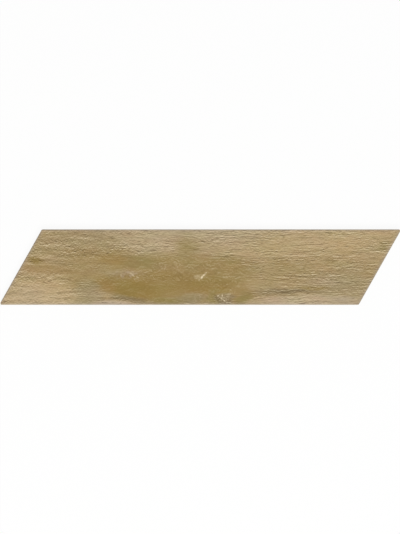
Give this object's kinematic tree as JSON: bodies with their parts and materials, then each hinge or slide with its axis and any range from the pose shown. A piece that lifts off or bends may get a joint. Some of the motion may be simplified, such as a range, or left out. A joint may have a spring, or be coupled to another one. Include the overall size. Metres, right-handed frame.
{
  "type": "chevron wall tile",
  "caption": "Rhomboid wood-look porcelain wall tile with slanted ends, a rounded face arris and a keyed back, laid in mirrored pairs to make chevrons.",
  "frame": {"origin": "middle of the plane that the back ribs bed on", "axes": "+X along the long edges towards the acute corner at the upper edge, +Y across the tile towards its upper long edge, +Z out of the glazed face"},
  "size_m": [0.52, 0.098, 0.0095],
  "materials": {
    "wood_look_glaze": "matte"
  },
  "bodies": {
    "root": {"chevron_tile": "wood_look_glaze"}
  },
  "joints": []
}
